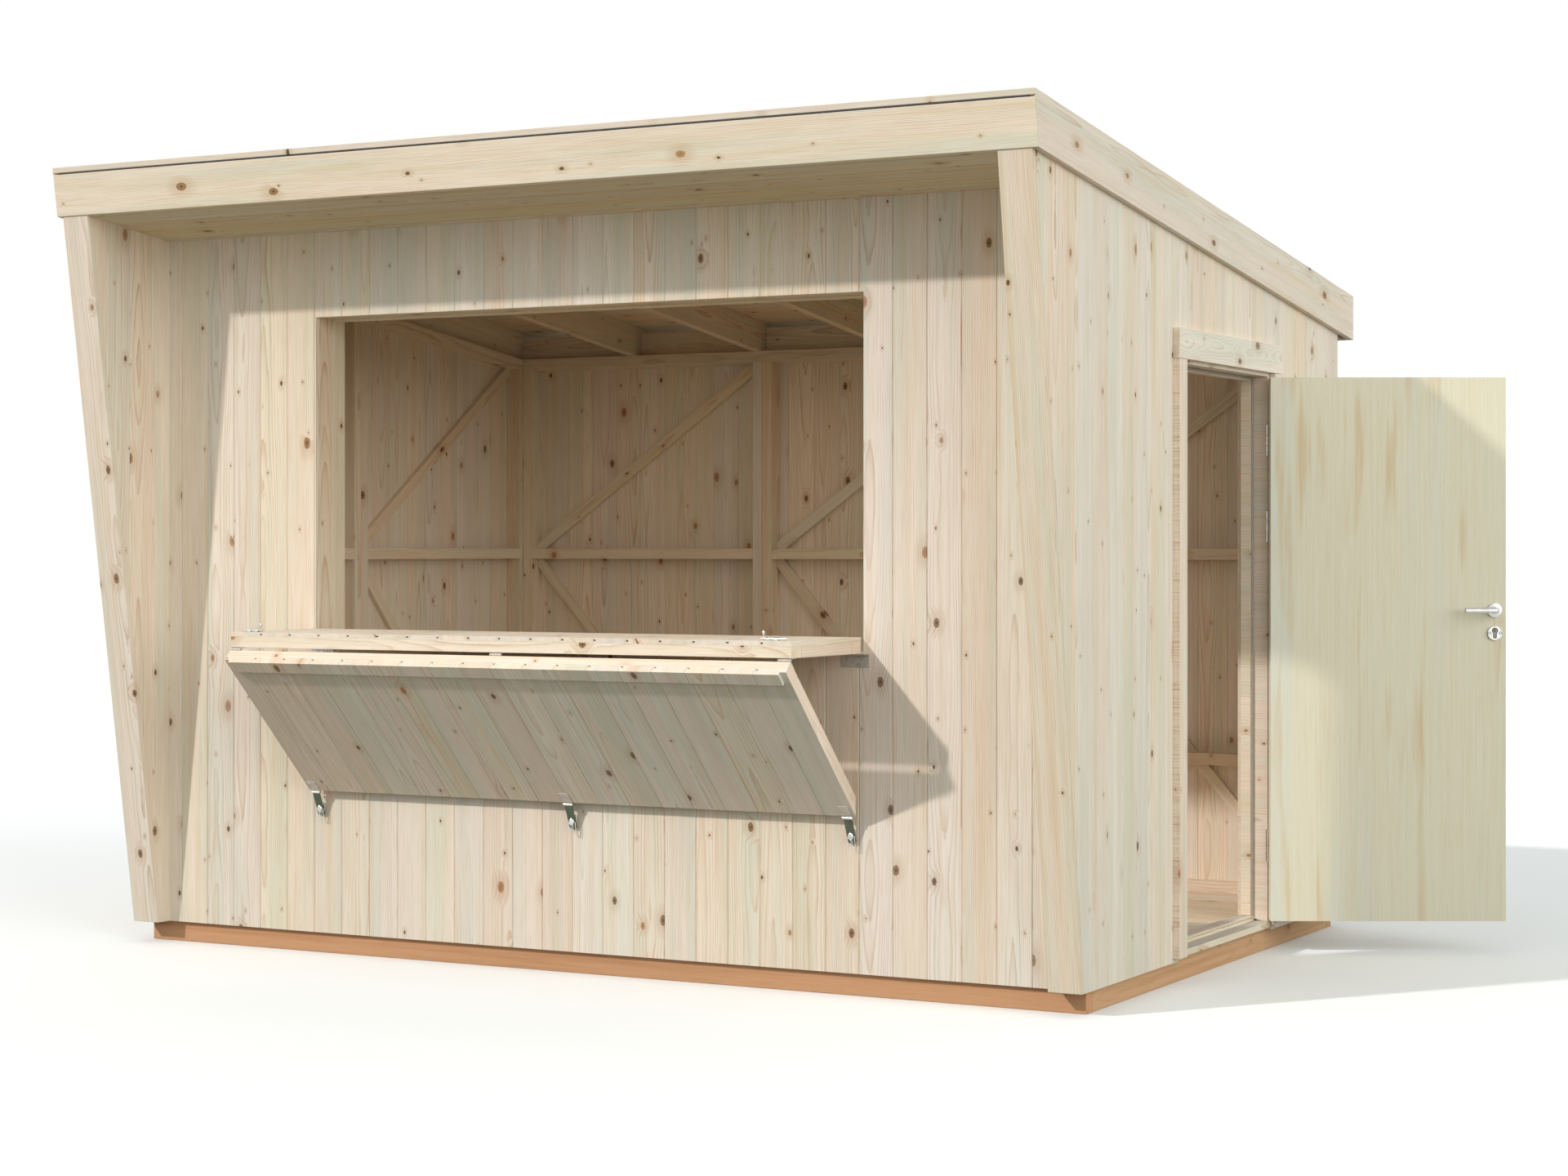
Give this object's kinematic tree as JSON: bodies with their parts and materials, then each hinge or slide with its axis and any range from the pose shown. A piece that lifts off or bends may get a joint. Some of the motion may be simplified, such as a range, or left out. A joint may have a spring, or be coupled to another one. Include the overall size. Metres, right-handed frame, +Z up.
{
  "type": "wooden market stall",
  "caption": "Timber market stall with a mono-pitch roof, slanted side wings, a serving window with a fold-down counter hatch and a hinged side door.",
  "frame": {"origin": "centre of the base's underside, on the ground", "axes": "+X towards the door side, +Y towards the back, +Z up"},
  "size_m": [4.0348, 2.7605, 2.4832],
  "materials": {
    "raw_spruce": "raw planed spruce",
    "treated_timber": "brown impregnated timber",
    "birch_plywood": "sanded plywood",
    "zinc_steel": "bright zinc plated",
    "satin_steel": "satin",
    "roofing_felt": "mineral surfaced felt"
  },
  "bodies": {
    "stall": {"base_frame": "treated_timber", "floor_boards": "raw_spruce", "wall_plates": "raw_spruce", "wall_studs": "raw_spruce", "wall_rails": "raw_spruce", "wall_braces": "raw_spruce", "front_wall_left": "raw_spruce", "front_wall_right": "raw_spruce", "front_wall_below": "raw_spruce", "front_wall_above": "raw_spruce", "back_wall": "raw_spruce", "left_wall": "raw_spruce", "right_wall_front": "raw_spruce", "right_wall_rear": "raw_spruce", "right_wall_over_door": "raw_spruce", "wing_linings": "raw_spruce", "front_trims": "raw_spruce", "window_frame": "raw_spruce", "counter_top": "raw_spruce", "counter_frame": "raw_spruce", "flap_boards": "raw_spruce", "flap_frame": "raw_spruce", "flap_cover_strip": "raw_spruce", "hatch_hinges": "zinc_steel", "flap_hasps": "zinc_steel", "hasp_staples": "zinc_steel", "barrel_bolts": "zinc_steel", "rafters": "raw_spruce", "eaves_blocking": "raw_spruce", "roof_deck": "raw_spruce", "roof_felt": "roofing_felt", "soffit_boards": "raw_spruce", "front_fascia": "raw_spruce", "drip_strip": "raw_spruce", "side_fascias": "raw_spruce", "back_fascia": "raw_spruce", "door_casing": "raw_spruce", "door_frame": "raw_spruce", "door_stops": "raw_spruce", "door_threshold": "raw_spruce", "frame_hinges": "zinc_steel"},
    "door": {"door_leaf": "birch_plywood", "leaf_hinges": "zinc_steel", "handle_roses": "satin_steel"},
    "lever": {"lever_handles": "satin_steel"}
  },
  "joints": [
    {"name": "door_hinge", "type": "hinge", "parent": "stall", "child": "door", "pos_m": [1.668, 0.3715, 0.101], "axis": [0, 0, 1], "range_deg": [-118.4, 0]},
    {"name": "lever_turn", "type": "hinge", "parent": "door", "child": "lever", "pos_m": [2.30426, 0.69279, 1.085], "axis": [0.4756, -0.8796, 0], "range_deg": [0, 40], "stiffness_Nm_per_rad": 1.2, "springref_deg": -28.65}
  ]
}
